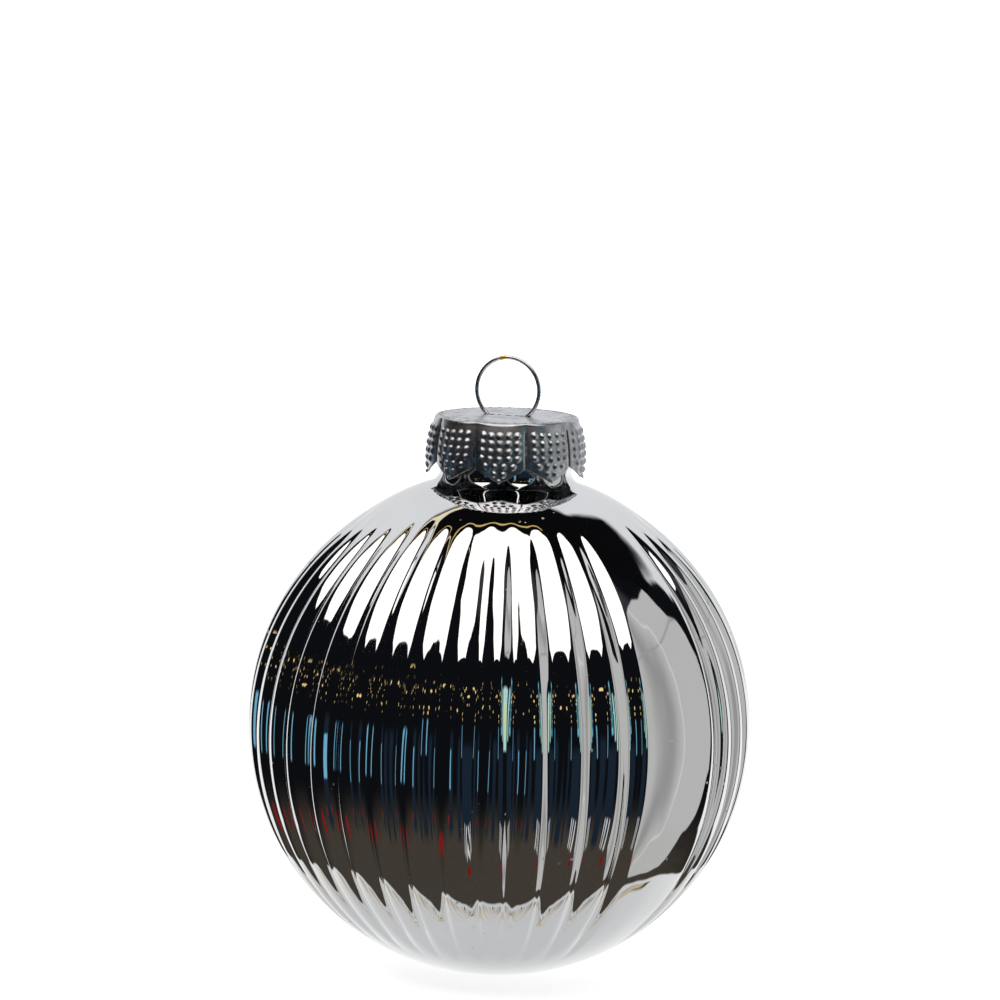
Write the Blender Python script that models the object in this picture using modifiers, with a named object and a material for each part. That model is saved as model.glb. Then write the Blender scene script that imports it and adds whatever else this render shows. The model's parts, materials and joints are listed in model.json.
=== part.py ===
"""A glass ball ornament: a fluted, silvered glass ball under a stamped metal cap with a wire hanger.

Metres, +Z up. The origin is the ball's lowest point, so the ball's middle is BALL_RADIUS above it.
The hanger's ring stands in the XZ plane, and the cap and the ball are centred on the Z axis.
Profiles are lists of (radius, height) and run down the outside of a piece, from top to bottom.
"""

import math

import bmesh
import bpy
from mathutils import Matrix, Vector

MM = 0.001
TOUCH_GAP = 0.3 * MM  # left between two pieces that touch on the real object

# The blown glass ball and its neck
BALL_RADIUS = 40 * MM  # over the crests of the flutes
CAVITY_RADIUS = 38.3 * MM
NECK_RADIUS = 10.4 * MM
BORE_RADIUS = 9.4 * MM
NECK_FILLET = 7 * MM  # where the neck runs out into the ball, outside and inside
NECK_TOP = 88.7 * MM
NECK_LIP = 0.3 * MM
FLUTE_COUNT = 40
FLUTE_DEPTH = 1.0 * MM  # from crest to groove
FLUTE_FULL_LATITUDE = math.radians(44)  # the flutes have their full depth up to here
FLUTE_END_LATITUDE = math.radians(62)  # and have faded out here
STEPS_PER_FLUTE = 4
SEAM_TURN = math.radians(64)  # the mould's seam, from -Y towards +X, and again opposite
SEAM_FLAT = math.radians(9)  # to each side of it the flutes are nearly flat
SEAM_END = math.radians(12)  # and they have their full depth again here
SEAM_FLUTE_SHARE = 0.12
BALL_ROWS = 17

# The silvering, far thicker here than the real film
LINING_THICKNESS = 0.3 * MM
LINING_OPENING_RADIUS = 13.5 * MM
CAVITY_STEPS = 48
CAVITY_ROWS = 12

# The stamped cap: a flat top and a skirt of pointed petals with slits between them
PETAL_COUNT = 9
PETAL_PHASE = math.radians(14.3)  # a petal's middle, from -Y towards +X
CAP_TOP = 89.5 * MM
CAP_TOP_RADIUS = 11.4 * MM
CAP_RIM_RADIUS = 0.6 * MM
CAP_SHEET = 0.3 * MM
PETAL_CORNER_Z = 83.1 * MM
PETAL_POINT_Z = 80.4 * MM
PETAL_FLARE = 0.95 * MM
PETAL_BULGE = 0.3 * MM
SLIT_WIDTH = 0.4 * MM
SLIT_TOP = 88.0 * MM
STEPS_PER_PETAL = 8
PETAL_ROWS = 4

# The hanger: one wire, bent to a ring above the cap and two spring legs under it
WIRE_RADIUS = 0.31 * MM
RING_RADIUS = 5.2 * MM  # to the middle of the wire
RING_CENTRE_Z = 93.5 * MM
RING_POINTS = 33
LEG_LENGTH = 17 * MM
LEG_SPLAY = math.radians(30.5)
LEG_BOW = 0.25 * MM
LEG_POINTS = 6
WIRE_HOLE_RADIUS = 0.85 * MM
WIRE_HOLE_STEPS = 16

BALL_CENTRE_Z = BALL_RADIUS
PIVOT_Z = CAP_TOP - CAP_SHEET / 2
PIVOT_X = math.sqrt(RING_RADIUS**2 - (RING_CENTRE_Z - PIVOT_Z) ** 2)


def empty_scene():
    """Remove every object, and any collection that an earlier run left."""
    for obj in list(bpy.data.objects):
        bpy.data.objects.remove(obj, do_unlink=True)
    for collection in list(bpy.data.collections):
        bpy.data.collections.remove(collection)


def new_collection(name):
    collection = bpy.data.collections.new(name)
    bpy.context.scene.collection.children.link(collection)
    return collection


def new_material(name, colour, roughness, metallic=0.0, transmission=0.0):
    material = bpy.data.materials.new(name)
    material.use_nodes = True
    shader = material.node_tree.nodes["Principled BSDF"]
    shader.inputs["Base Color"].default_value = (*colour, 1.0)
    shader.inputs["Roughness"].default_value = roughness
    shader.inputs["Metallic"].default_value = metallic
    shader.inputs["Transmission Weight"].default_value = transmission
    material.diffuse_color = (*colour, 1.0)
    return material


def turned(name, profile, steps, collection):
    """An object that turns a profile about the Z axis with a Screw modifier."""
    mesh = bpy.data.meshes.new(name)
    points = [(radius, 0.0, height) for radius, height in profile]
    edges = [(i, i + 1) for i in range(len(points) - 1)]
    mesh.from_pydata(points, edges, [])
    obj = bpy.data.objects.new(name, mesh)
    collection.objects.link(obj)
    screw = obj.modifiers.new("Turn", "SCREW")
    screw.axis = "Z"
    screw.steps = steps
    screw.render_steps = steps
    screw.use_merge_vertices = True
    screw.merge_threshold = 0.00001
    return obj


def apply_modifiers(obj):
    """Keep an object's evaluated mesh in place of its modifiers."""
    depsgraph = bpy.context.evaluated_depsgraph_get()
    mesh = bpy.data.meshes.new_from_object(obj.evaluated_get(depsgraph))
    obj.modifiers.clear()
    obj.data = mesh


def make_cutter(obj):
    obj.hide_render = True
    obj.display_type = "WIRE"


def cut(obj, cutter):
    boolean = obj.modifiers.new("Cut by " + cutter.name, "BOOLEAN")
    boolean.operation = "DIFFERENCE"
    boolean.solver = "EXACT"
    boolean.object = cutter


def add_solidify(obj, thickness):
    """Thicken an open surface inwards."""
    solidify = obj.modifiers.new("Thickness", "SOLIDIFY")
    solidify.thickness = thickness
    solidify.offset = -1


def arc(centre, radius, start, end, count):
    """Points along an arc, with angles from +radius towards +height."""
    angles = [start + (end - start) * i / (count - 1) for i in range(count)]
    return [(centre[0] + radius * math.cos(a), centre[1] + radius * math.sin(a)) for a in angles]


def smoothstep(value):
    value = min(1.0, max(0.0, value))
    return value * value * (3 - 2 * value)


def neck_and_ball(neck_radius, ball_radius, fillet, rows):
    """The profile below the neck's straight wall: a fillet, then the ball down to its pole."""
    across = neck_radius + fillet
    up = math.sqrt((ball_radius + fillet) ** 2 - across**2)
    meeting = math.atan2(up, across)
    shoulder = arc((across, BALL_CENTRE_Z + up), fillet, math.pi, math.pi + meeting, 4)
    ball = arc((0, BALL_CENTRE_Z), ball_radius, meeting, -math.pi / 2, rows)
    pole = (0.0, BALL_CENTRE_Z - ball_radius)
    return shoulder + ball[1:-1] + [pole]


def flute_fade(latitude):
    """1 where the flutes are full, 0 where they have faded into the plain ball."""
    span = FLUTE_END_LATITUDE - FLUTE_FULL_LATITUDE
    return smoothstep((FLUTE_END_LATITUDE - abs(latitude)) / span)


def seam_fade(turn):
    """SEAM_FLUTE_SHARE along the two seams, and 1 away from them."""
    off = (turn - SEAM_TURN + math.pi / 2) % math.pi - math.pi / 2
    away = smoothstep((abs(off) - SEAM_FLAT) / (SEAM_END - SEAM_FLAT))
    return SEAM_FLUTE_SHARE + (1 - SEAM_FLUTE_SHARE) * away


def press_flutes(mesh):
    """Draw the ball's surface in towards its middle, most in the grooves."""
    centre = Vector((0, 0, BALL_CENTRE_Z))
    for vertex in mesh.vertices:
        arm = vertex.co - centre
        latitude = math.asin(min(1.0, max(-1.0, arm.z / arm.length)))
        turn = math.atan2(arm.x, -arm.y)
        groove = (1 - math.cos(FLUTE_COUNT * turn)) / 2
        depth = FLUTE_DEPTH * groove * flute_fade(latitude) * seam_fade(turn)
        vertex.co = centre + arm * (1 - depth / arm.length)


def make_glass_ball(collection, cutters):
    lip = arc((NECK_RADIUS - NECK_LIP, NECK_TOP - NECK_LIP), NECK_LIP, math.pi / 2, 0, 3)
    profile = [(0.0, NECK_TOP)] + lip
    profile += neck_and_ball(NECK_RADIUS, BALL_RADIUS, NECK_FILLET, BALL_ROWS)
    ball = turned("glass_ball", profile, FLUTE_COUNT * STEPS_PER_FLUTE, collection)
    apply_modifiers(ball)
    press_flutes(ball.data)
    mouth = NECK_TOP + 2 * MM
    profile = [(0.0, mouth), (BORE_RADIUS, mouth)]
    profile += neck_and_ball(BORE_RADIUS, CAVITY_RADIUS, NECK_FILLET, CAVITY_ROWS)
    cavity = turned("cavity_cutter", profile, CAVITY_STEPS, cutters)
    make_cutter(cavity)
    cut(ball, cavity)
    return ball


def make_silver_lining(collection):
    radius = CAVITY_RADIUS - TOUCH_GAP
    opening = math.acos(LINING_OPENING_RADIUS / radius)
    profile = arc((0, BALL_CENTRE_Z), radius, opening, -math.pi / 2, CAVITY_ROWS)
    profile[-1] = (0.0, BALL_CENTRE_Z - radius)
    lining = turned("silver_lining", profile, CAVITY_STEPS, collection)
    add_solidify(lining, LINING_THICKNESS)
    return lining


def petal_middle_share(turn):
    """1 at a petal's middle and 0 at the slits beside it, evenly in between."""
    petals = (turn - PETAL_PHASE + math.pi / 2) * PETAL_COUNT / (2 * math.pi)
    return 1 - 2 * abs(petals - round(petals))


def shape_petals(mesh, skirt_top):
    """Give the skirt its flare, its pointed lower edge and the petals' slight bulge."""
    lowest = min(vertex.co.z for vertex in mesh.vertices)
    for vertex in mesh.vertices:
        down = (skirt_top - vertex.co.z) / (skirt_top - lowest)
        if down <= 0.001:
            continue
        turn = math.atan2(vertex.co.y, vertex.co.x)
        middle = petal_middle_share(turn)
        edge = PETAL_CORNER_Z + (PETAL_POINT_Z - PETAL_CORNER_Z) * middle
        height = skirt_top - down * (skirt_top - edge)
        reach = (skirt_top - height) / (skirt_top - PETAL_CORNER_Z)
        radius = CAP_TOP_RADIUS + PETAL_FLARE * (1 - (1 - reach) ** 2)
        radius += PETAL_BULGE * (smoothstep(middle) - 1) * math.sin(down * math.pi / 2)
        vertex.co = (radius * math.cos(turn), radius * math.sin(turn), height)


def make_slit_cutter(cutters):
    """Thin upright blades, one at each slit."""
    mesh = bpy.data.meshes.new("slit_cutter")
    shapes = bmesh.new()
    inner = CAP_TOP_RADIUS - 1.5 * MM
    outer = CAP_TOP_RADIUS + 3 * MM
    bottom = PETAL_POINT_Z - 2 * MM
    for i in range(PETAL_COUNT):
        turn = PETAL_PHASE - math.pi / 2 + (i + 0.5) * 2 * math.pi / PETAL_COUNT
        blade = bmesh.ops.create_cube(shapes, size=1)["verts"]
        bmesh.ops.scale(shapes, verts=blade, vec=(outer - inner, SLIT_WIDTH, SLIT_TOP - bottom))
        centre = ((outer + inner) / 2, 0, (SLIT_TOP + bottom) / 2)
        bmesh.ops.translate(shapes, verts=blade, vec=centre)
        bmesh.ops.rotate(shapes, verts=blade, matrix=Matrix.Rotation(turn, 3, "Z"))
    shapes.to_mesh(mesh)
    shapes.free()
    cutter = bpy.data.objects.new("slit_cutter", mesh)
    cutters.objects.link(cutter)
    make_cutter(cutter)
    return cutter


def make_wire_hole_cutter(name, x, cutters):
    bpy.ops.mesh.primitive_cylinder_add(
        vertices=WIRE_HOLE_STEPS, radius=WIRE_HOLE_RADIUS, depth=2 * MM, location=(x, 0, CAP_TOP)
    )
    cutter = bpy.context.object
    cutter.name = name
    for owner in list(cutter.users_collection):
        owner.objects.unlink(cutter)
    cutters.objects.link(cutter)
    make_cutter(cutter)
    return cutter


def make_cap(collection, cutters):
    flat_radius = CAP_TOP_RADIUS - CAP_RIM_RADIUS
    profile = [(0.0, CAP_TOP), (flat_radius / 2, CAP_TOP)]
    profile += arc((flat_radius, CAP_TOP - CAP_RIM_RADIUS), CAP_RIM_RADIUS, math.pi / 2, 0, 4)
    skirt_top = CAP_TOP - CAP_RIM_RADIUS
    depth = skirt_top - PETAL_CORNER_Z
    for i in range(1, PETAL_ROWS + 1):
        profile.append((CAP_TOP_RADIUS, skirt_top - depth * i / PETAL_ROWS))
    cap = turned("cap", profile, PETAL_COUNT * STEPS_PER_PETAL, collection)
    apply_modifiers(cap)
    shape_petals(cap.data, skirt_top)
    add_solidify(cap, CAP_SHEET)
    cut(cap, make_slit_cutter(cutters))
    for name, side in (("left", -1), ("right", 1)):
        cut(cap, make_wire_hole_cutter("wire_hole_cutter_" + name, side * PIVOT_X, cutters))
    return cap


def make_wire(name, points, location, collection):
    """A round wire through a list of points, given from the wire's own origin."""
    curve = bpy.data.curves.new(name, "CURVE")
    curve.dimensions = "3D"
    curve.bevel_depth = WIRE_RADIUS
    curve.bevel_resolution = 2
    curve.use_fill_caps = True
    spline = curve.splines.new("POLY")
    spline.points.add(len(points) - 1)
    for target, point in zip(spline.points, points):
        target.co = (*point, 1.0)
    wire = bpy.data.objects.new(name, curve)
    wire.location = location
    collection.objects.link(wire)
    return wire


def make_ring(collection):
    """The ring, open where its two ends go down through the cap."""
    foot = math.asin((PIVOT_Z - RING_CENTRE_Z) / RING_RADIUS)
    path = arc((0, RING_CENTRE_Z - PIVOT_Z), RING_RADIUS, foot, math.pi - foot, RING_POINTS)
    points = [(x, 0.0, z) for x, z in path]
    return make_wire("hanger_ring", points, (0, 0, PIVOT_Z), collection)


def make_leg(name, side, collection):
    """A spring leg that splays outwards inside the neck, below one end of the ring."""
    start = 2 * TOUCH_GAP
    points = []
    for i in range(LEG_POINTS):
        share = i / (LEG_POINTS - 1)
        along = start + (LEG_LENGTH - start) * share
        bow = LEG_BOW * math.sin(share * math.pi)
        across = along * math.sin(LEG_SPLAY) - bow * math.cos(LEG_SPLAY)
        down = along * math.cos(LEG_SPLAY) + bow * math.sin(LEG_SPLAY)
        points.append((side * across, 0.0, -down))
    return make_wire(name, points, (side * PIVOT_X, 0, PIVOT_Z), collection)


def finish_piece(obj, material):
    obj.data.materials.clear()
    obj.data.materials.append(material)
    if obj.type == "MESH":
        obj.data.shade_smooth()
        obj.data.set_sharp_from_angle(angle=math.radians(40))


def build():
    empty_scene()
    ornament = new_collection("glass_ball_ornament")
    cutters = new_collection("cutters")
    glass = new_material("mirror_glass", (0.86, 0.87, 0.88), 0.03, metallic=1.0)
    silver = new_material("silver_film", (0.80, 0.80, 0.81), 0.15, metallic=1.0)
    sheet = new_material("cap_aluminium", (0.72, 0.73, 0.75), 0.28, metallic=1.0)
    steel = new_material("hanger_steel", (0.58, 0.59, 0.61), 0.18, metallic=1.0)
    finish_piece(make_glass_ball(ornament, cutters), glass)
    finish_piece(make_silver_lining(ornament), silver)
    finish_piece(make_cap(ornament, cutters), sheet)
    finish_piece(make_ring(ornament), steel)
    finish_piece(make_leg("hanger_leg_left", -1, ornament), steel)
    finish_piece(make_leg("hanger_leg_right", 1, ornament), steel)


build()
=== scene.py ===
"""The looks of a glass ball ornament: a fluted mirror-glass ball, a beaded petal cap and a wire hanger."""

import json
import math
import random

import bmesh
import bpy
import numpy as np
from mathutils import Matrix, Vector


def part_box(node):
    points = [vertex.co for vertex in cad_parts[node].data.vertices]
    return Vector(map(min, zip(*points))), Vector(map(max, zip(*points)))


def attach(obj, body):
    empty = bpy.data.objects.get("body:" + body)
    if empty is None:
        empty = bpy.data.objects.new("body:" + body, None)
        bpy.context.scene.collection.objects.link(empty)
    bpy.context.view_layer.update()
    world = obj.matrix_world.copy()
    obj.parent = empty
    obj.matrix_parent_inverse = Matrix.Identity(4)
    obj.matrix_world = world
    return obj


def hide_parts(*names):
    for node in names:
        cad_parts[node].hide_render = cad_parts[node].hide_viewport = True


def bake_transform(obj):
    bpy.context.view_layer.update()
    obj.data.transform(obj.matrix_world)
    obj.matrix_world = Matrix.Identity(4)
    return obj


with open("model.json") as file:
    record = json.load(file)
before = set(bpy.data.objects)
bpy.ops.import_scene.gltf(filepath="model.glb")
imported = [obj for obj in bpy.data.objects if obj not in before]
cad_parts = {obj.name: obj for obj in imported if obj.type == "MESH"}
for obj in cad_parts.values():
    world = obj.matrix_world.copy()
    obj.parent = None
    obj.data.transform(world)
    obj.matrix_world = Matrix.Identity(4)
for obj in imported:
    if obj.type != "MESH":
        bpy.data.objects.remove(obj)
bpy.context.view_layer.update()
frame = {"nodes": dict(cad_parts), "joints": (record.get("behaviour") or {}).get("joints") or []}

MM = 0.001
FULL_TURN = 2 * math.pi

# Places and sizes that the frame gives
BALL_LOW, BALL_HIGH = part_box("glass_ball")
CAP_LOW, CAP_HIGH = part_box("cap")
RING_LOW, RING_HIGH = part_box("hanger_ring")
LEG_LOW, LEG_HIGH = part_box("hanger_leg_right")
LEG_HINGE = next(joint for joint in frame["joints"] if joint["name"] == "leg_right_flex")
BALL_RADIUS = round((BALL_HIGH.y - BALL_LOW.y) / 2, 4)
BALL_CENTRE = Vector((0, 0, BALL_LOW.z + BALL_RADIUS))
NECK_TOP = BALL_HIGH.z
CAP_TOP = CAP_HIGH.z
PETAL_POINT_Z = CAP_LOW.z
PIVOT_X, _, PIVOT_Z = LEG_HINGE["pos_m"]
WIRE_RADIUS = (RING_HIGH.y - RING_LOW.y) / 2
RING_RADIUS = (RING_HIGH.x - RING_LOW.x) / 2 - WIRE_RADIUS
RING_CENTRE_Z = RING_HIGH.z - WIRE_RADIUS - RING_RADIUS

# The glass. The neck's corner is tighter than the CAD's, under a slightly raised shoulder
NECK_RADIUS = 10.4 * MM
NECK_LIP = 0.35 * MM
NECK_WALL_TOP = NECK_TOP - 1 * MM
NECK_WALL_END = NECK_TOP - 4.6 * MM
NECK_FILLET = 2.4 * MM
SHOULDER_RISE = 0.5 * MM
SHOULDER_LOW = math.radians(50)
SHOULDER_HIGH = math.radians(72)
BORE_RADIUS = 9.4 * MM
INNER_FILLET = 7 * MM
CAVITY_RADIUS = 38.3 * MM
SILVER_TOP = NECK_TOP - 3.0 * MM
BALL_ROWS = 100
CAVITY_ROWS = 12
POLE_GAP = 0.004  # radians between the last row and the pole

# The flutes, and the seam of the mould, where they are nearly flat
FLUTE_COUNT = 40
COLUMNS_PER_FLUTE = 18
FLUTE_DEPTH = 0.9 * MM
FLUTE_FULL_LATITUDE = math.radians(42)
FLUTE_END_LATITUDE = math.radians(61)
LOW_LATITUDE = math.radians(35)
SEAM_DEGREES = 64
SEAM_TURN = math.radians(SEAM_DEGREES)
SEAM_FLAT = math.radians(9)
SEAM_END = math.radians(12)
SEAM_FLUTE_SHARE = 0.03
WARP_REACH = 10  # degrees to each side of the seam, over which the flutes are pushed round
WARP_DEGREES = 2

# The cap
CAP_RADIUS = 11.4 * MM
CAP_RIM = 0.4 * MM
CAP_SHEET = 0.26 * MM
CAP_SKIRT_TOP = CAP_TOP - CAP_RIM
CAP_FLAT_RADIUS = CAP_RADIUS - CAP_RIM - 0.15 * MM
DISC_ROWS = 36
RIM_ROWS = 5
SKIRT_ROWS = 66
WIRE_HOLE_RADIUS = 0.85 * MM
NEAR_TOP = CAP_TOP - 0.5 * MM  # what lies above this belongs to the flat top

# Its petals
PETAL_COUNT = 9
PETAL_TURN = FULL_TURN / PETAL_COUNT
PETAL_PHASE = math.radians(14.3)
PETAL_COLUMNS = 46
PETAL_CORNER_Z = PETAL_POINT_Z + 1.9 * MM
PETAL_TIP_Z = PETAL_POINT_Z - 0.35 * MM
PETAL_FLARE = 0.95 * MM
PETAL_SWELL = 0.3 * MM  # how much further out its middle stands than its sides
PETAL_DROP = 0.22 * MM  # how much lower its middle is folded down than its sides
PETAL_BELLY = 0.12 * MM
PETAL_CURL = 0.07 * MM
SLIT_HALF_WIDTH = 0.11 * MM
SLIT_TOP = CAP_TOP - 1.3 * MM

# What is stamped into it
BEADS_IN_ROWS = (5, 5, 5, 5, 4, 2, 1)
BEAD_PITCH_ACROSS = 1.43 * MM
BEAD_PITCH_DOWN = 1.2 * MM
BEAD_RADIUS = 0.53 * MM
BEAD_HEIGHT = 0.33 * MM
BEAD_SCATTER = 0.05
FIRST_BEAD_DOWN = 1.35 * MM
DIMPLE_COUNT = 42
DIMPLE_RADIUS = 0.32 * MM
DIMPLE_DEPTH = 0.14 * MM
DIMPLE_FROM_EDGE = 0.35 * MM
GROOVE_HALF_WIDTH = 0.45 * MM
GROOVE_DEPTH = 0.06 * MM
DASH_DEPTH = 0.2 * MM
SHADED_DASH_RATE = 4400.0  # radians per metre

# The hanger
RING_END = math.radians(7)  # how far above the cap each leg takes over from the ring
LEG_BOW = 0.25 * MM
BEND_LENGTH = 0.9 * MM

# The camera
CAMERA_AZIMUTH = 19.1
CAMERA_ELEVATION = 10.2
CAMERA_DISTANCE = 0.82
CAMERA_LENS = 184.9
CAMERA_TILT = 2.49
CAMERA_YAW = -0.009
CAMERA_ROLL = 1.5


def smoothstep(value):
    value = np.clip(value, 0.0, 1.0)
    return value * value * (3 - 2 * value)


def new_mesh_object(name, points, faces):
    mesh = bpy.data.meshes.new(name)
    mesh.from_pydata([tuple(p) for p in points], [], faces)
    mesh.validate()
    mesh.shade_smooth()
    obj = bpy.data.objects.new(name, mesh)
    bpy.context.scene.collection.objects.link(obj)
    return obj


def arc(centre, radius, start, end, count):
    """Points along an arc in the (radius, height) plane, with angles from +radius towards +height."""
    angles = np.linspace(start, end, count)
    return [(centre[0] + radius * math.cos(a), centre[1] + radius * math.sin(a)) for a in angles]


# ---------------------------------------------------------------- node helpers


class Nodes:
    """A short way to write a node tree."""

    def __init__(self, tree):
        self.tree = tree

    def add(self, kind, **settings):
        node = self.tree.nodes.new(kind)
        for key, value in settings.items():
            setattr(node, key, value)
        return node

    def plug(self, socket, value):
        if isinstance(value, bpy.types.NodeSocket):
            self.tree.links.new(value, socket)
        elif value is not None:
            socket.default_value = value

    def math(self, operation, a, b=None, c=None, clamp=False):
        node = self.add("ShaderNodeMath", operation=operation, use_clamp=clamp)
        for socket, value in zip(node.inputs, (a, b, c)):
            self.plug(socket, value)
        return node.outputs[0]

    def dot(self, vector, direction):
        node = self.add("ShaderNodeVectorMath", operation="DOT_PRODUCT")
        self.plug(node.inputs[0], vector)
        self.plug(node.inputs[1], tuple(direction))
        return node.outputs["Value"]

    def both(self, *masks):
        """Where all of the masks are 1."""
        result = masks[0]
        for mask in masks[1:]:
            result = self.math("MULTIPLY", result, mask)
        return result

    def ramp(self, value, low, high, to_low=0.0, to_high=1.0):
        """A smooth step from to_low at low to to_high at high."""
        node = self.add("ShaderNodeMapRange", interpolation_type="SMOOTHSTEP")
        for socket, item in zip(node.inputs, (value, low, high, to_low, to_high)):
            self.plug(socket, item)
        return node.outputs[0]

    def mix(self, share, a, b):
        """Colour a where share is 0, and b where it is 1."""
        node = self.add("ShaderNodeMix", data_type="RGBA")
        self.plug(node.inputs["Factor"], share)
        for name, value in (("A", a), ("B", b)):
            if isinstance(value, tuple) and len(value) == 3:
                value = (*value, 1.0)
            socket = [s for s in node.inputs if s.name == name and s.type == "RGBA"][0]
            self.plug(socket, value)
        return [s for s in node.outputs if s.type == "RGBA"][0]

    def scale(self, vector, factors):
        node = self.add("ShaderNodeVectorMath", operation="MULTIPLY")
        self.plug(node.inputs[0], vector)
        self.plug(node.inputs[1], factors)
        return node.outputs[0]

    def combine(self, x, y):
        node = self.add("ShaderNodeCombineXYZ")
        for socket, value in zip(node.inputs, (x, y)):
            self.plug(socket, value)
        return node.outputs[0]

    def noise(self, vector, scale, detail=2.0, roughness=0.5):
        node = self.add("ShaderNodeTexNoise")
        self.plug(node.inputs["Vector"], vector)
        node.inputs["Scale"].default_value = scale
        node.inputs["Detail"].default_value = detail
        node.inputs["Roughness"].default_value = roughness
        return node.outputs["Fac"]

    def voronoi(self, vector, scale, dimensions="3D"):
        """The distance to the nearest of the points that are scattered in cells."""
        node = self.add("ShaderNodeTexVoronoi", voronoi_dimensions=dimensions)
        self.plug(node.inputs["Vector"], vector)
        node.inputs["Scale"].default_value = scale
        return node.outputs["Distance"]

    def bump(self, height, distance, strength=1.0, normal=None):
        node = self.add("ShaderNodeBump")
        node.inputs["Strength"].default_value = strength
        node.inputs["Distance"].default_value = distance
        self.plug(node.inputs["Height"], height)
        self.plug(node.inputs["Normal"], normal)
        return node.outputs[0]


def new_material(name):
    """A material with its nodes, its shader and the place on the object, in metres."""
    material = bpy.data.materials.new(name)
    material.use_nodes = True
    nodes = Nodes(material.node_tree)
    shader = material.node_tree.nodes["Principled BSDF"]
    place = nodes.add("ShaderNodeTexCoord").outputs["Object"]
    return material, nodes, shader, place


# ---------------------------------------------------------------- materials


def mirror_glass_material():
    """Clear glass over silvering: a clean mirror with a hard surface, faint waves, dust and hairlines."""
    material, nodes, shader, place = new_material("mirror_glass")
    shader.inputs["Metallic"].default_value = 1.0
    shader.inputs["Coat Weight"].default_value = 0.6
    shader.inputs["Coat Roughness"].default_value = 0.02
    shader.inputs["Coat IOR"].default_value = 1.5
    clouds = nodes.noise(place, 60, 3)
    tint = nodes.mix(nodes.ramp(clouds, 0.35, 0.7), (0.93, 0.935, 0.94), (0.885, 0.885, 0.88))
    nodes.plug(shader.inputs["Base Color"], tint)
    dusty = nodes.ramp(nodes.noise(place, 95, 2), 0.56, 0.66)
    dust = nodes.both(nodes.ramp(nodes.voronoi(place, 520), 0.16, 0.08), dusty)
    hairline_place = nodes.scale(place, (1.0, 1.0, 0.07))
    hairlines = nodes.ramp(nodes.noise(hairline_place, 900, 2), 0.66, 0.74)
    haze = nodes.ramp(nodes.noise(place, 35, 4, 0.6), 0.4, 0.8, 0.012, 0.05)
    rough = nodes.math("ADD", haze, nodes.math("MULTIPLY", hairlines, 0.06))
    rough = nodes.math("ADD", rough, nodes.math("MULTIPLY", dust, 0.5), clamp=True)
    nodes.plug(shader.inputs["Roughness"], rough)
    waves = nodes.noise(nodes.scale(place, (1.0, 1.0, 0.35)), 170, 2, 0.45)
    grain = nodes.bump(dust, 0.03 * MM, 0.35)
    nodes.plug(shader.inputs["Normal"], nodes.bump(waves, 0.045 * MM, 1.0, grain))
    return material


def clear_glass_material():
    """The neck's unsilvered end, slightly grey-green and ground at the lip."""
    material, nodes, shader, place = new_material("clear_glass")
    shader.inputs["Transmission Weight"].default_value = 0.9
    shader.inputs["IOR"].default_value = 1.5
    streaks = nodes.noise(nodes.scale(place, (1, 1, 0.2)), 400, 3)
    nodes.plug(shader.inputs["Base Color"], nodes.mix(streaks, (0.86, 0.91, 0.89), (0.95, 0.97, 0.96)))
    nodes.plug(shader.inputs["Roughness"], nodes.ramp(streaks, 0.3, 0.8, 0.04, 0.25))
    return material


def silver_film_material():
    """The silvering, seen from inside: slightly yellowed, with thin places."""
    material, nodes, shader, place = new_material("silver_film")
    shader.inputs["Metallic"].default_value = 1.0
    stains = nodes.noise(place, 140, 5, 0.6)
    colour = nodes.mix(nodes.ramp(stains, 0.4, 0.75), (0.86, 0.86, 0.85), (0.62, 0.58, 0.5))
    nodes.plug(shader.inputs["Base Color"], colour)
    nodes.plug(shader.inputs["Roughness"], nodes.ramp(stains, 0.3, 0.8, 0.12, 0.34))
    nodes.plug(shader.inputs["Normal"], nodes.bump(stains, 0.02 * MM, 0.5))
    return material


def painted_recess_shade(nodes, place):
    """Painted shade on the cap's flat top: where it is darkened, in the dashes between the wire holes and in
    the dimples of its border.
    """
    split = nodes.add("ShaderNodeSeparateXYZ")
    nodes.plug(split.inputs[0], place)
    x, y, z = split.outputs
    upper = nodes.ramp(z, CAP_TOP - 1 * MM, CAP_TOP - 0.8 * MM)
    dashes = nodes.ramp(nodes.math("COSINE", nodes.math("MULTIPLY", x, SHADED_DASH_RATE)), 0.1, 0.5)
    between_holes = nodes.ramp(nodes.math("ABSOLUTE", x), 2.3 * MM, 2.0 * MM)
    thin = nodes.ramp(nodes.math("ABSOLUTE", y), 0.62 * MM, 0.5 * MM)
    turns = nodes.math("MULTIPLY", nodes.math("ARCTAN2", x, y), float(DIMPLE_COUNT))
    dimples = nodes.ramp(nodes.math("COSINE", turns), 0.3, 0.8)
    length = nodes.add("ShaderNodeVectorMath", operation="LENGTH")
    nodes.plug(length.inputs[0], nodes.scale(place, (1.0, 1.0, 0.0)))
    reach = length.outputs["Value"]
    border = nodes.both(nodes.ramp(reach, 10.15 * MM, 10.3 * MM), nodes.ramp(reach, 10.95 * MM, 10.8 * MM))
    return nodes.both(between_holes, dashes, thin, upper), nodes.both(border, dimples, upper)


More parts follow.
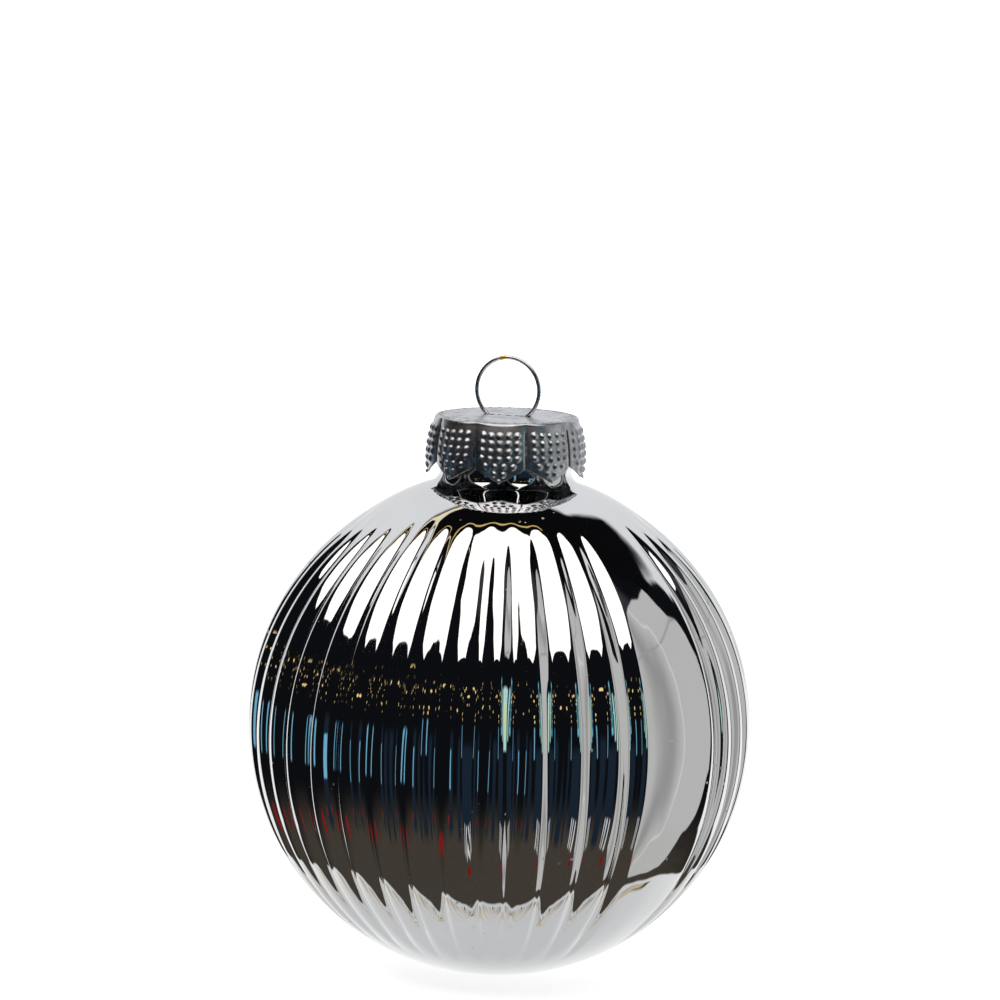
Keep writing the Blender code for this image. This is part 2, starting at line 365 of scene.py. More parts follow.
def cap_material():
    """Bright stamped aluminium sheet: rolled grain, grime, dulled flats, and painted shade in its stamped
    dashes and dimples.
    """
    material, nodes, shader, place = new_material("cap_aluminium")
    shader.inputs["Metallic"].default_value = 1.0
    grime = nodes.noise(place, 420, 4, 0.6)
    worn = nodes.noise(place, 1500, 3, 0.6)
    colour = nodes.mix(nodes.ramp(grime, 0.38, 0.7), (0.74, 0.75, 0.78), (0.5, 0.51, 0.54))
    colour = nodes.mix(nodes.ramp(worn, 0.6, 0.75), colour, (0.9, 0.91, 0.92))
    dash_shade, dimple_shade = painted_recess_shade(nodes, place)
    # Painted shade: near black in the stamped dashes, dark grey in the border's dimples
    colour = nodes.mix(dash_shade, colour, (0.03, 0.03, 0.035))
    colour = nodes.mix(dimple_shade, colour, (0.10, 0.10, 0.11))
    nodes.plug(shader.inputs["Base Color"], colour)
    rough = nodes.ramp(grime, 0.3, 0.75, 0.26, 0.38)
    scratch_place = nodes.scale(place, (1.0, 0.12, 1.0))
    scratches = nodes.ramp(nodes.noise(scratch_place, 3200, 2), 0.62, 0.72)
    nodes.plug(shader.inputs["Roughness"], nodes.math("ADD", rough, nodes.math("MULTIPLY", scratches, 0.12)))
    rolled = nodes.noise(nodes.scale(place, (1.0, 0.2, 1.0)), 2400, 3, 0.6)
    fine = nodes.bump(rolled, 0.006 * MM, 0.5)
    nodes.plug(shader.inputs["Normal"], nodes.bump(worn, 0.008 * MM, 0.5, fine))
    return material


def wire_material():
    """Bright plated wire with drawing lines, painted shade that darkens it towards its edges as the camera
    sees them, and a gold-coloured spot at the ring's top.
    """
    material, nodes, shader, place = new_material("hanger_steel")
    shader.inputs["Metallic"].default_value = 1.0
    shader.inputs["Specular Tint"].default_value = (0.3, 0.34, 0.42, 1.0)
    lines = nodes.noise(place, 2600, 3, 0.6)
    steel = nodes.mix(nodes.ramp(lines, 0.35, 0.7), (0.76, 0.78, 0.80), (0.92, 0.93, 0.94))
    # A gold-coloured spot painted round one place on the ring's top, a little left of its middle
    away = nodes.add("ShaderNodeVectorMath", operation="DISTANCE")
    nodes.plug(away.inputs[0], place)
    away.inputs[1].default_value = (-0.95 * MM, 0, RING_HIGH.z - 0.25 * MM)
    reach = nodes.math("ADD", away.outputs["Value"], nodes.math("MULTIPLY", lines, 0.25 * MM))
    gold_spot = nodes.ramp(reach, 0.78 * MM, 0.62 * MM)
    # Painted shade: the base colour turns near black towards the wire's edges, where its surface turns away
    # from the camera
    edge = nodes.add("ShaderNodeLayerWeight")
    edge.inputs["Blend"].default_value = 0.5
    steel = nodes.mix(nodes.ramp(edge.outputs["Facing"], 0.6, 0.95), steel, (0.10, 0.12, 0.15))
    nodes.plug(shader.inputs["Base Color"], nodes.mix(gold_spot, steel, (0.83, 0.52, 0.13)))
    nodes.plug(shader.inputs["Roughness"], nodes.ramp(lines, 0.3, 0.75, 0.16, 0.3))
    nodes.plug(shader.inputs["Normal"], nodes.bump(lines, 0.008 * MM, 0.5))
    return material


# ---------------------------------------------------------------- the ball


def neck_and_ball(neck_radius, ball_radius, fillet, shoulder_points, rows):
    """(radius, height) down from the neck's straight wall: a fillet, then the ball to near its pole."""
    across = neck_radius + fillet
    up = math.sqrt((ball_radius + fillet) ** 2 - across**2)
    meeting = math.atan2(up, across)
    shoulder = arc((across, BALL_CENTRE.z + up), fillet, math.pi, math.pi + meeting, shoulder_points)
    ball = arc((0, BALL_CENTRE.z), ball_radius, meeting, -math.pi / 2 + POLE_GAP, rows)
    return shoulder + ball[1:]


def ring_of_points(radius, turn, height):
    """Points round the Z axis. Turn 0 is at the front, on -Y, and + is towards +X."""
    return np.stack(np.broadcast_arrays(radius * np.sin(turn), -radius * np.cos(turn), height), axis=-1)


def lattice_faces(rows, columns):
    """Quads over a closed ring of columns, with the rows running down an outside."""
    faces = []
    for i in range(rows - 1):
        for j in range(columns):
            k = (j + 1) % columns
            faces.append((i * columns + j, (i + 1) * columns + j, (i + 1) * columns + k, i * columns + k))
    return faces


def flute_depths(turn, latitude):
    """How far the surface lies inside the crests, with the small unevenness of blown glass."""
    fade = smoothstep((FLUTE_END_LATITUDE - np.abs(latitude)) / (FLUTE_END_LATITUDE - FLUTE_FULL_LATITUDE))
    off = (turn - SEAM_TURN + math.pi / 2) % math.pi - math.pi / 2
    seam = smoothstep((np.abs(off) - SEAM_FLAT) / (SEAM_END - SEAM_FLAT))
    seam = SEAM_FLUTE_SHARE + (1 - SEAM_FLUTE_SHARE) * seam
    # past each seam the flutes are pushed round a little
    sides = [SEAM_DEGREES + half + side for half in (0, 180) for side in (-WARP_REACH, WARP_REACH)]
    warp = np.interp(np.degrees(turn), sides, (0, WARP_DEGREES, 0, WARP_DEGREES), period=360)
    # slow waves round the ball keep any two flutes from being quite the same
    drift = 0.006 * np.sin(3 * turn + 1.3) + 0.005 * np.sin(11 * turn + 2.1 + 0.5 * latitude)
    drift = drift + 0.003 * np.sin(19 * turn - 1.2 * latitude + 0.7)
    uneven = 1 + 0.05 * np.sin(5 * turn + 0.4) + 0.04 * np.sin(13 * turn + 1.9 * latitude + 2.0)
    # 0 on a crest and 1 in a groove. Grooves are narrower than ribs, most of all below the equator
    place = FLUTE_COUNT * (turn - np.radians(warp) + drift) / math.pi
    from_crest = np.abs((place + 1) % 2 - 1)
    low = smoothstep(-latitude / LOW_LATITUDE)
    groove = (1 - np.cos(math.pi * from_crest ** (1.2 + 0.5 * low))) / 2
    groove = groove + 0.035 * np.cos(3 * math.pi * from_crest + 5 * latitude) * np.sin(math.pi * from_crest)
    swell = (1 + 0.24 * np.sin(latitude)) * np.cos(latitude) ** 0.8
    return FLUTE_DEPTH * groove * swell * fade * seam * uneven


def ball_profiles():
    """(radius, height) points of the inside and of the outside, each from the lip down to the pole."""
    inside = arc((BORE_RADIUS + NECK_LIP, NECK_TOP - NECK_LIP), NECK_LIP, math.pi / 2, math.pi, 4)
    inside += neck_and_ball(BORE_RADIUS, CAVITY_RADIUS, INNER_FILLET, 5, CAVITY_ROWS)
    outside = arc((NECK_RADIUS - NECK_LIP, NECK_TOP - NECK_LIP), NECK_LIP, math.pi / 2, 0, 5)
    outside += [(NECK_RADIUS, z) for z in np.linspace(NECK_WALL_TOP, NECK_WALL_END, 5)]
    outside += neck_and_ball(NECK_RADIUS, BALL_RADIUS, NECK_FILLET, 9, BALL_ROWS)
    return inside, outside


def make_ball(materials):
    """The glass: a finely fluted outside, a lip, the bore and a plain inside, as one closed shell."""
    inside, outside = ball_profiles()
    profile = np.array(inside[::-1] + outside)
    rows, columns = len(profile), FLUTE_COUNT * COLUMNS_PER_FLUTE
    turn = np.arange(columns) * FULL_TURN / columns
    radius, height = profile[:, :1], profile[:, 1:] - BALL_CENTRE.z
    latitude = np.arctan2(height, radius)
    depth = flute_depths(turn[None, :], latitude)
    rise = SHOULDER_RISE * smoothstep((latitude - SHOULDER_LOW) / (SHOULDER_HIGH - SHOULDER_LOW))
    depth[: len(inside)] = 0
    rise[: len(inside)] = 0
    share = 1 - depth / np.hypot(radius, height)
    height = height + rise * smoothstep((NECK_TOP - 4 * MM - BALL_CENTRE.z - height) / (3 * MM))
    points = ring_of_points(radius * share, turn, height * share + BALL_CENTRE.z).reshape(-1, 3)
    faces = lattice_faces(rows, columns)
    pole_in, pole_out, last = len(points), len(points) + 1, (rows - 1) * columns
    poles = [(0, 0, BALL_CENTRE.z - CAVITY_RADIUS), (0, 0, BALL_CENTRE.z - BALL_RADIUS)]
    for j in range(columns):
        k = (j + 1) % columns
        faces.append((pole_in, j, k))
        faces.append((last + j, pole_out, last + k))
    ball = new_mesh_object("mirror_ball", np.vstack([points, poles]), faces)
    for material in materials:
        ball.data.materials.append(material)
    mark_neck(ball.data)
    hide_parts("glass_ball")
    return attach(ball, "ball")


def mark_neck(mesh):
    """The silvering stops a little short of the lip: above a wavering line the glass is clear."""
    for face in mesh.polygons:
        centre = face.center
        turn = math.atan2(centre.x, -centre.y)
        line = SILVER_TOP + 0.35 * MM * math.sin(3 * turn) + 0.2 * MM * math.sin(8 * turn + 1)
        near_neck = math.hypot(centre.x, centre.y) < NECK_RADIUS + 0.1 * MM
        if near_neck and centre.z > line:
            face.material_index = 1


# ---------------------------------------------------------------- the cap


def bead_places():
    """(across, down) of each bead on a petal, from the middle of the petal's top edge."""
    places = []
    chance = random.Random(9)
    for row, count in enumerate(BEADS_IN_ROWS):
        for i in range(count):
            across = (i - (count - 1) / 2) * BEAD_PITCH_ACROSS
            across += chance.uniform(-BEAD_SCATTER, BEAD_SCATTER) * MM
            down = FIRST_BEAD_DOWN + row * BEAD_PITCH_DOWN + chance.uniform(-BEAD_SCATTER, BEAD_SCATTER) * MM
            places.append((across, down))
    return places


def bead_heights(across, down, beads):
    """The raised beads' height over the sheet."""
    height = np.zeros_like(across)
    for x, y in beads:
        away = ((across - x) ** 2 * 1.25 + (down - y) ** 2) / BEAD_RADIUS**2
        height = np.maximum(height, BEAD_HEIGHT * np.clip(1 - away, 0, 1) ** 0.8)
    return height


def petal_columns():
    """The turn of each column round the cap, and its place across its petal, from -1 to 1."""
    share = np.linspace(-1, 1, PETAL_COLUMNS)
    half_petal = PETAL_TURN / 2 - SLIT_HALF_WIDTH / CAP_RADIUS
    turns = [PETAL_PHASE + i * PETAL_TURN + share * half_petal for i in range(PETAL_COUNT)]
    return np.concatenate(turns), np.tile(share, PETAL_COUNT)


def petal_bulge(middle):
    """1 along a petal's middle and 0 at its sides."""
    return 1 - np.abs(middle) ** 2.2


def cap_top_rows(turn):
    """The flat top, a little uneven, with a dimpled border and a groove between the wire holes."""
    dimple_turns = np.arange(DIMPLE_COUNT) * FULL_TURN / DIMPLE_COUNT
    to_dimple = (turn[:, None] - dimple_turns + math.pi) % FULL_TURN - math.pi
    dimple_circle = CAP_FLAT_RADIUS - DIMPLE_FROM_EDGE
    rows = []
    for radius in np.linspace(0.35 * MM, CAP_FLAT_RADIUS, DISC_ROWS):
        round_way = np.abs(to_dimple).min(axis=1) * radius
        away = (round_way**2 + (radius - dimple_circle) ** 2) / DIMPLE_RADIUS**2
        height = CAP_TOP - DIMPLE_DEPTH * np.clip(1 - away, 0, 1)
        height = height - stamped_depth(radius * np.sin(turn), -radius * np.cos(turn))
        height = height + 0.03 * MM * np.sin(2 * turn + 1) * (radius / CAP_FLAT_RADIUS) ** 2
        rows.append(ring_of_points(radius, turn, height))
    return rows


def cap_rim_rows(turn, swell, drop):
    """The rounded fold from the flat top to the petals."""
    rows = []
    for share in np.arange(1, RIM_ROWS + 1) / RIM_ROWS:
        angle = math.pi / 2 * (1 - share)
        radius = CAP_RADIUS - CAP_RIM + CAP_RIM * math.cos(angle) + swell * share
        height = CAP_SKIRT_TOP + CAP_RIM * math.sin(angle) - drop * share
        rows.append(ring_of_points(radius, turn, height))
    return rows


def cap_skirt_rows(turn, middle, swell, drop):
    """The petals: flared, bellied, curled in at their sides and beaded, each ending in a point."""
    top = CAP_SKIRT_TOP - drop
    edge = PETAL_TIP_Z + (PETAL_CORNER_Z - PETAL_TIP_Z) * np.abs(middle)
    across = middle * PETAL_TURN / 2 * (CAP_RADIUS + 0.5 * MM)
    curl = smoothstep((np.abs(middle) - 0.9) / 0.1)
    beads = bead_places()
    rows = []
    for down in np.arange(1, SKIRT_ROWS + 1) / SKIRT_ROWS:
        height = top + (edge - top) * down
        reach = (top - height) / (CAP_SKIRT_TOP - PETAL_CORNER_Z)
        radius = CAP_RADIUS + swell + PETAL_FLARE * (1 - (1 - reach) ** 2)
        radius = radius + PETAL_BELLY * petal_bulge(middle) * math.sin(math.pi * down)
        radius = radius - PETAL_CURL * curl * min(1.0, 3 * down)
        radius = radius + bead_heights(across, top - height, beads)
        rows.append(ring_of_points(radius, turn, height))
    return rows


def make_cap(material):
    """The stamped cap: a flat top with a dimpled border, and nine beaded petals with slits between them."""
    turn, middle = petal_columns()
    swell = PETAL_SWELL * (petal_bulge(middle) - 0.6)
    drop = PETAL_DROP * petal_bulge(middle)
    rows = cap_top_rows(turn) + cap_rim_rows(turn, swell, drop) + cap_skirt_rows(turn, middle, swell, drop)
    points = np.concatenate(rows)
    columns = len(turn)
    faces = []
    for face in lattice_faces(len(rows), columns):
        in_slit = face[3] % PETAL_COLUMNS == 0 and points[face[0]][2] < SLIT_TOP
        if not in_slit:
            faces.append(face)
    middle_point = len(points)
    faces += [(middle_point, j, (j + 1) % columns) for j in range(columns)]
    cap = new_mesh_object("beaded_cap", np.vstack([points, [(0, 0, CAP_TOP)]]), faces)
    pierce_wire_holes(cap.data)
    solidify = cap.modifiers.new("Sheet", "SOLIDIFY")
    solidify.thickness = CAP_SHEET
    solidify.offset = -1
    cap.data.materials.append(material)
    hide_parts("cap")
    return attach(cap, "cap")


def stamped_depth(x, y):
    """A shallow stamped groove that joins the two wire holes, deeper in three short dashes."""
    along = smoothstep((PIVOT_X - np.abs(x)) / (0.5 * MM))
    groove = np.clip(1 - (y / GROOVE_HALF_WIDTH) ** 2, 0, 1) * along
    dashes = smoothstep((np.cos(x / (0.62 * MM)) - 0.2) / 0.5)
    return groove * (GROOVE_DEPTH + DASH_DEPTH * dashes)


def pierce_wire_holes(mesh):
    """Open a round hole at each end of the ring, and turn the metal down a little round it."""
    shapes = bmesh.new()
    shapes.from_mesh(mesh)
    for side in (-1, 1):
        hole = Vector((side * PIVOT_X, 0))
        top = [face for face in shapes.faces if face.calc_center_median().z > NEAR_TOP]
        inner = [face for face in top if (face.calc_center_median().xy - hole).length < WIRE_HOLE_RADIUS]
        bmesh.ops.delete(shapes, geom=inner, context="FACES")
    for vertex in shapes.verts:
        if not vertex.is_boundary or vertex.co.z < NEAR_TOP:
            continue
        side = 1 if vertex.co.x > 0 else -1
        hole = Vector((side * PIVOT_X, 0))
        arm = vertex.co.xy - hole
        if arm.length < WIRE_HOLE_RADIUS * 1.4:
            arm = arm.normalized() * WIRE_HOLE_RADIUS
            vertex.co = (hole.x + arm.x, hole.y + arm.y, vertex.co.z - 0.12 * MM)
    shapes.to_mesh(mesh)
    shapes.free()
    mesh.shade_smooth()


# ---------------------------------------------------------------- the hanger


def wire_mesh(name, path, resolution=5):
    """A round wire along a path, as a mesh."""
    curve = bpy.data.curves.new(name, "CURVE")
    curve.dimensions = "3D"
    curve.bevel_depth = WIRE_RADIUS
    curve.bevel_resolution = resolution
    curve.use_fill_caps = True
    spline = curve.splines.new("POLY")
    spline.points.add(len(path) - 1)
    for target, point in zip(spline.points, path):
        target.co = (*point, 1.0)
    source = bpy.data.objects.new(name + "_path", curve)
    bpy.context.scene.collection.objects.link(source)
    depsgraph = bpy.context.evaluated_depsgraph_get()
    mesh = bpy.data.meshes.new_from_object(source.evaluated_get(depsgraph))
    bpy.data.objects.remove(source)
    shapes = bmesh.new()
    shapes.from_mesh(mesh)
    bmesh.ops.remove_doubles(shapes, verts=shapes.verts, dist=1e-7)
    shapes.to_mesh(mesh)
    shapes.free()
    mesh.shade_smooth()
    mesh.set_sharp_from_angle(angle=math.radians(50))
    wire = bpy.data.objects.new(name, mesh)
    bpy.context.scene.collection.objects.link(wire)
    return wire


def finish_wire(wire, material, node):
    """Give a piece of the wire its material, and let it stand for its CAD node."""
    wire.data.materials.append(material)
    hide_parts(node)


def leg_route(ring_start, ring_foot):
    """(x, z) points of the right leg: the ring's last stretch, the bend at the cap and the bowed leg."""
    tip = Vector((LEG_HIGH.x - WIRE_RADIUS * 0.86, LEG_LOW.z + WIRE_RADIUS * 0.5))
    waist = Vector((PIVOT_X, PIVOT_Z))
    below = waist + (tip - waist).normalized() * BEND_LENGTH
    upper = [Vector(p) for p in arc((0, RING_CENTRE_Z), RING_RADIUS, ring_start + 0.004, ring_foot + 0.06, 6)]
    bend, lower = [], []
    for i in range(1, 10):
        t = i / 10
        bend.append(upper[-1] * (1 - t) ** 2 + waist * 2 * t * (1 - t) + below * t**2)
    for i in range(22):
        t = i / 21
        bow = Vector((-0.86, -0.5)) * LEG_BOW * math.sin(math.pi * t)
        lower.append(below + (tip - below) * t + bow)
    return upper + bend + lower


def make_hanger(material):
    """One bent wire: a ring, a waist at the cap and two spring legs."""
    foot = math.asin((PIVOT_Z - RING_CENTRE_Z) / RING_RADIUS)
    start = foot + RING_END
    path = arc((0, RING_CENTRE_Z), RING_RADIUS, start, math.pi - start, 90)
    ring = wire_mesh("hanger_wire_ring", [(x, 0, z) for x, z in path], 6)
    finish_wire(ring, material, "hanger_ring")
    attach(ring, "ring")
    route = leg_route(start, foot)
    for side, name in ((-1, "left"), (1, "right")):
        leg = wire_mesh("hanger_wire_leg_" + name, [(side * p.x, 0, p.y) for p in route])
        finish_wire(leg, material, "hanger_leg_" + name)
        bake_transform(leg)


# ---------------------------------------------------------------- the studio


def direction(azimuth, elevation):
    """A unit vector towards a place in the studio. Azimuth 0 is the camera's side, and + is to its right."""
    turn = math.radians(azimuth + CAMERA_AZIMUTH)
    rise = math.radians(elevation)
    return Vector((math.sin(turn) * math.cos(rise), -math.cos(turn) * math.cos(rise), math.sin(rise)))


def overhead(right, back):
    """The azimuth and elevation of a place on a ceiling one unit up."""
    return math.degrees(math.atan2(right, -back)), math.degrees(math.atan2(1, math.hypot(right, back)))


# The softbox's outline on a ceiling one unit up, as (right, back), and a bright rail behind it
SOFTBOX_FRONT = ((-1.15, -0.65), (-0.8, -1.18), (0.35, -1.27), (0.8, -0.85))
SOFTBOX_BACK = ((0.78, -0.2), (0.35, 0.22), (-0.7, 0.26), (-1.08, 0.05))
GOLD_EDGE = ((-0.7, 0.33), (0.2, 0.29), (0.2, 0.31), (-0.7, 0.35))

GOLD = (0.6, 0.42, 0.16)
BLACK_WALL = (0.003, 0.003, 0.0035)
NIGHT_BLUE = (0.010, 0.018, 0.032)
DAYLIGHT_BLUE = (0.16, 0.42, 0.60)

# Dark walls, strips of daylight and windows in the room: azimuths, elevations, softness and colour
WINDOWS = (
    ((-38, -26), (-40, 4), 3, NIGHT_BLUE),
    ((-8, 6), (-44, 2), 3, NIGHT_BLUE),
    ((22, 58), (-38, -2), 3, NIGHT_BLUE),
    ((-101, -93), (-15, -1), 0.8, DAYLIGHT_BLUE),
    ((-35.8, -32.2), (-20, -3), 0.8, DAYLIGHT_BLUE),
    ((14.5, 17.5), (-6, 8), 0.8, DAYLIGHT_BLUE),
    ((43, 50), (3, 25), 0.8, (0.16, 0.50, 0.66)),
    ((44.5, 48.5), (6, 23), 0.5, (0.02, 0.04, 0.05)),
    ((54, 58), (0, 19), 0.8, (0.34, 0.60, 0.62)),
    ((61, 66), (-4, 17), 0.8, (0.42, 0.68, 0.62)),
    ((62.5, 64.5), (0, 12), 0.6, (0.60, 0.70, 0.36)),
)

# Small round things: azimuth, elevation, half width and colour
RED_THINGS = (
    (-88, -35, 6, (0.22, 0.01, 0.01)),
    (-40, -33, 3, (0.20, 0.01, 0.01)),
    (60, -50, 4, (0.16, 0.01, 0.01)),
)
THINGS_ON_TABLE = ((20, -82, 1.6, (0.03, 0.035, 0.05)), (75, -66, 1.6, (0.03, 0.035, 0.05)))
SPOT_SOFTNESS = 0.7

# The grey card's corners, as azimuth and elevation
CARD = ((69, -42), (98, -50), (113, -41), (113, 41), (80, 42), (69, 34))


class Studio:
    """Paints the surroundings that the mirror shows, layer over layer, by the direction of the ray."""

    def __init__(self, nodes):
        self.nodes = nodes
        self.colour = None
        self.ray = nodes.add("ShaderNodeTexCoord").outputs["Generated"]
        ahead = nodes.dot(self.ray, direction(0, 0))
        self.across = nodes.dot(self.ray, direction(90, 0))
        self.rise = nodes.dot(self.ray, (0, 0, 1))
        self.azimuth = nodes.math("DEGREES", nodes.math("ARCTAN2", self.across, ahead))
        self.elevation = nodes.math("DEGREES", nodes.math("ARCSINE", self.rise))
        self.table_back, self.table = self.places_on_table()

    def places_on_table(self):
        """How far back a ray meets the table, and how far from its middle line: its round front is at 1."""
        nodes = self.nodes
        drop = nodes.math("MAXIMUM", nodes.math("MULTIPLY", self.rise, -1.0), 0.001)
        across = nodes.math("DIVIDE", self.across, drop)
        back = nodes.math("DIVIDE", nodes.dot(self.ray, direction(180, 0)), drop)
        ahead = nodes.math("MINIMUM", nodes.math("SUBTRACT", back, 0.82), 0.0)
        squares = nodes.math("MULTIPLY_ADD", across, across, nodes.math("MULTIPLY", ahead, ahead))
        return back, nodes.math("SQRT", squares)

    def paint(self, mask, colour):
        self.colour = self.nodes.mix(mask, self.colour, colour)

    def span(self, value, low, high, soft):
        """1 between low and high, fading over soft to each side of both."""
        up = self.nodes.ramp(value, low - soft, low + soft)
        down = self.nodes.ramp(value, high + soft, high - soft)
        return self.nodes.both(up, down)

    def window(self, azimuths, elevations, soft):
        """An upright rectangle on the walls of the room."""
        across = self.span(self.azimuth, *azimuths, soft)
        return self.nodes.both(across, self.span(self.elevation, *elevations, soft))

    def panel(self, corners, soft):
        """A flat card, by the places of its corners, which run round it."""
        rays = [direction(*corner) for corner in corners]
        middle = sum(rays, Vector())
        limit = math.sin(math.radians(soft))
        masks = []
        for a, b in zip(rays, rays[1:] + rays[:1]):
            edge = a.cross(b).normalized()
            if edge.dot(middle) < 0:
                edge = -edge
            masks.append(self.nodes.ramp(self.nodes.dot(self.ray, edge), -limit, limit))
        return self.nodes.both(*masks)

    def spot(self, azimuth, elevation, size):
        """A soft round spot."""
        near = self.nodes.dot(self.ray, direction(azimuth, elevation))
        outer, inner = math.cos(math.radians(size)), math.cos(math.radians(size * (1 - SPOT_SOFTNESS)))
        return self.nodes.ramp(near, outer, inner)


def paint_sweep(studio):
    """The white table and the pale sweep behind it."""
    nodes, elevation = studio.nodes, studio.elevation
    sweep = nodes.mix(nodes.ramp(elevation, -62, -8), (0.56, 0.57, 0.58), (0.96, 0.96, 0.96))
    studio.colour = nodes.mix(nodes.ramp(elevation, -12, 12), sweep, (0.70, 0.715, 0.73))


def paint_room(studio):
    """The dark room in front, down to the edge of the white table, and its black ceiling."""
    nodes, elevation = studio.nodes, studio.elevation
    front = nodes.both(studio.span(studio.azimuth, -130, 124, 1.5), nodes.ramp(elevation, -30, -28))
    low = nodes.both(nodes.ramp(studio.table, 0.985, 1.015), nodes.ramp(elevation, -26, -28))
    grain = nodes.noise(nodes.combine(studio.azimuth, elevation), 0.35, 3, 0.65)
    floor = nodes.mix(grain, (0.030, 0.026, 0.020), (0.075, 0.064, 0.050))
    dark = nodes.mix(nodes.ramp(elevation, -46, -20), floor, (0.004, 0.0045, 0.006))
    studio.paint(nodes.math("MAXIMUM", front, low), dark)
    studio.paint(nodes.ramp(elevation, 50, 53), BLACK_WALL)
    studio.paint(studio.window((112, 152), (37, 60), 2), BLACK_WALL)
    studio.paint(studio.window((-178, -118), (53, 55), 0.4), (0.8, 0.72, 0.5))


def paint_things_in_room(studio):
    """Windows, small warm lamps, a few red things and some pale stands."""
    nodes = studio.nodes
    for azimuths, elevations, soft, colour in WINDOWS:
        studio.paint(studio.window(azimuths, elevations, soft), colour)
    half_turn = nodes.math("RADIANS", nodes.math("MULTIPLY", studio.azimuth, 0.5))
    level = nodes.math("DIVIDE", studio.elevation, nodes.math("COSINE", half_turn))
    lamps = nodes.combine(nodes.math("DIVIDE", studio.azimuth, 11.0), nodes.math("DIVIDE", level, 4.2))
    lit = nodes.ramp(nodes.noise(lamps, 0.9, 1), 0.53, 0.56)
    specks = nodes.both(nodes.ramp(nodes.voronoi(lamps, 1.0, "2D"), 0.21, 0.14), lit)
    warm = nodes.both(specks, studio.span(level, 10, 24, 2), studio.span(studio.azimuth, -126, 62, 3))
    studio.paint(warm, (0.95, 0.68, 0.28))
    for azimuth, elevation, size, colour in RED_THINGS:
        studio.paint(studio.spot(azimuth, elevation, size), colour)
    for azimuth in (38, 46, 54):
        studio.paint(studio.window((azimuth - 1.6, azimuth + 1.6), (-46, -32), 1.0), (0.62, 0.63, 0.64))


def paint_softbox(studio):
    """The softbox overhead, a gold rail behind it and the violet-grey wall past its right edge."""
    nodes = studio.nodes
    studio.paint(studio.window((64, 100), (42, 58), 4), (0.035, 0.034, 0.042))
    softbox = studio.panel([overhead(*corner) for corner in SOFTBOX_FRONT + SOFTBOX_BACK], 0.35)
    cloth = nodes.ramp(nodes.noise(nodes.scale(studio.ray, (1.0, 1.0, 0.3)), 16, 3), 0.42, 0.66)
    studio.paint(softbox, nodes.mix(cloth, (1.5, 1.42, 1.36), (1.16, 1.07, 1.02)))
    studio.paint(studio.panel([overhead(*corner) for corner in GOLD_EDGE], 0.12), GOLD)


def paint_card(studio):
    """The grey card at the right, with a darker fold, a crease and a paler strip."""
    nodes = studio.nodes
    shade = nodes.mix(studio.span(studio.azimuth, 79, 88, 5), (0.48, 0.48, 0.475), (0.30, 0.30, 0.30))
    shade = nodes.mix(studio.span(studio.elevation, 27.6, 28.4, 0.5), shade, (0.33, 0.33, 0.33))
    shade = nodes.mix(studio.span(studio.azimuth, 92.5, 93.5, 0.5), shade, (0.60, 0.60, 0.60))
    studio.paint(studio.panel(CARD, 0.4), shade)


def paint_paper(studio):
    """Folds of brown paper along the front of the table, fading towards its middle, and two small things."""
    nodes, table = studio.nodes, studio.table
    band = nodes.both(nodes.ramp(table, 0.72, 0.9), nodes.ramp(table, 0.965, 0.95))
    near = nodes.ramp(studio.table_back, 0.75, 0.6)
    band = nodes.both(band, near, nodes.ramp(studio.elevation, -40, -46))
    folds = nodes.noise(nodes.combine(studio.azimuth, 0.0), 0.1, 1)
    shadow = nodes.both(nodes.ramp(folds, 0.5, 0.515), nodes.ramp(table, 0.86, 0.92))
    studio.paint(nodes.both(band, shadow), (0.10, 0.085, 0.06))
    studio.paint(nodes.both(band, nodes.ramp(folds, 0.53, 0.56)), (0.52, 0.43, 0.28))
    for azimuth, elevation, size, colour in THINGS_ON_TABLE:
        studio.paint(studio.spot(azimuth, elevation, size), colour)


def make_world():
    """White to the camera. To everything else it is a studio: a softbox, a sweep, a card and a dark room."""
    world = bpy.data.worlds.new("studio")
    bpy.context.scene.world = world
    world.use_nodes = True
    world.cycles.sampling_method = "NONE"
    world.node_tree.nodes.clear()
    nodes = Nodes(world.node_tree)
    studio = Studio(nodes)
    paint_sweep(studio)
    paint_room(studio)
    paint_things_in_room(studio)
    paint_softbox(studio)
    paint_card(studio)
    paint_paper(studio)
    surroundings = nodes.add("ShaderNodeBackground")
    nodes.plug(surroundings.inputs["Color"], studio.colour)
    plain = nodes.add("ShaderNodeBackground")
    plain.inputs["Color"].default_value = (1, 1, 1, 1)
    plain.inputs["Strength"].default_value = 1.05
    choice = nodes.add("ShaderNodeMixShader")
    nodes.plug(choice.inputs["Fac"], nodes.add("ShaderNodeLightPath").outputs["Is Camera Ray"])
    nodes.plug(choice.inputs[1], surroundings.outputs[0])
    nodes.plug(choice.inputs[2], plain.outputs[0])
    nodes.plug(nodes.add("ShaderNodeOutputWorld").inputs["Surface"], choice.outputs[0])


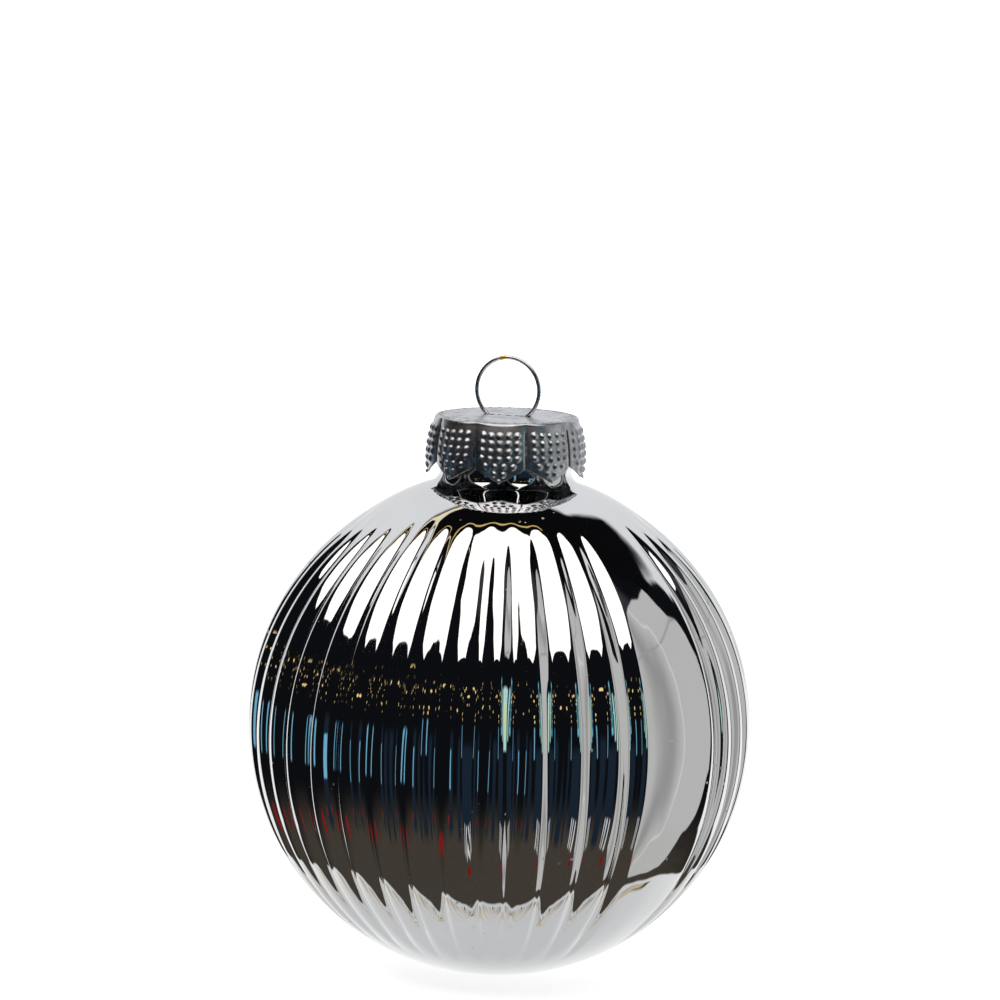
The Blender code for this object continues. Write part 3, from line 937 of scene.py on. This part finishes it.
def make_floor():
    """A wide pale floor that takes a faint soft shadow and isn't seen in the mirror."""
    bpy.ops.mesh.primitive_circle_add(vertices=96, radius=8, fill_type="NGON", location=(0, 0, -0.0002))
    floor = bpy.context.object
    floor.name = "floor"
    material, nodes, shader, place = new_material("pale_floor")
    tint = nodes.mix(nodes.noise(place, 2.0, 2), (0.78, 0.78, 0.785), (0.80, 0.80, 0.80))
    nodes.plug(shader.inputs["Base Color"], tint)
    shader.inputs["Roughness"].default_value = 1.0
    shader.inputs["Specular IOR Level"].default_value = 0.0
    shader.inputs["Emission Color"].default_value = (1, 1, 1, 1)
    shader.inputs["Emission Strength"].default_value = 0.82
    floor.data.materials.append(material)
    floor.visible_glossy = False
    floor.visible_diffuse = False


def make_light():
    """A large soft lamp overhead, unseen in the mirror."""
    lamp = bpy.data.lights.new("soft_lamp", "AREA")
    lamp.shape = "DISK"
    lamp.size = 1.2
    lamp.energy = 9
    obj = bpy.data.objects.new("soft_lamp", lamp)
    towards = direction(-40, 62)
    obj.location = towards * 1.4
    obj.rotation_euler = (-towards).to_track_quat("-Z", "Y").to_euler()
    obj.visible_glossy = False
    bpy.context.scene.collection.objects.link(obj)


def make_camera():
    """A long lens a little above the ball's middle, tilted up so that the ball is low in the frame."""
    camera = bpy.data.cameras.new("camera")
    camera.lens = CAMERA_LENS
    camera.clip_start = 0.01
    camera.clip_end = 40
    obj = bpy.data.objects.new("camera", camera)
    bpy.context.scene.collection.objects.link(obj)
    back = direction(0, CAMERA_ELEVATION)
    obj.location = BALL_CENTRE + back * CAMERA_DISTANCE
    aim = (-back).to_track_quat("-Z", "Y").to_matrix()
    roll = Matrix.Rotation(math.radians(CAMERA_ROLL), 3, "Z")
    tilt = Matrix.Rotation(math.radians(CAMERA_TILT), 3, "X")
    yaw = Matrix.Rotation(math.radians(CAMERA_YAW), 3, "Y")
    obj.rotation_euler = (aim @ roll @ tilt @ yaw).to_euler()
    bpy.context.scene.camera = obj


make_camera()
bpy.context.scene.view_settings.view_transform = "Standard"
make_world()
make_light()
make_floor()
make_ball([mirror_glass_material(), clear_glass_material()])
lining = frame["nodes"]["silver_lining"]
lining.data.materials.clear()
lining.data.materials.append(silver_film_material())
make_cap(cap_material())
make_hanger(wire_material())
